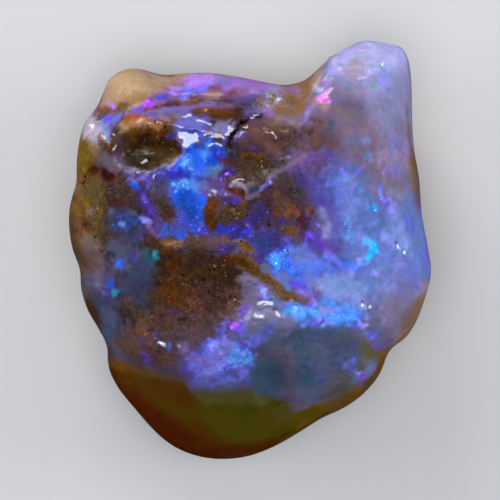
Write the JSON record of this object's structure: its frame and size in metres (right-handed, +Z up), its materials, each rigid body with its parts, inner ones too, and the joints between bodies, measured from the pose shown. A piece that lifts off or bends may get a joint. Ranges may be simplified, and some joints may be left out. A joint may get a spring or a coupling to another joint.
{
  "type": "rough fire opal",
  "caption": "Loose piece of rough precious opal with milky, amber and brown parts, a blunt horn and wet-looking blue and violet fire, lying on its back to be handled or shown.",
  "frame": {"origin": "under the middle of the stone's bounding box, on the surface that it lies on", "axes": "+Z up, out of the stone's best face; +Y along its length, towards the end with the blunt horn; +X towards its milky side"},
  "size_m": [0.0258, 0.03, 0.0136],
  "materials": {
    "opal": "wet-looking gloss over milky, translucent stone, dull in the brown patches"
  },
  "bodies": {
    "root": {"opal": "opal"}
  },
  "joints": []
}
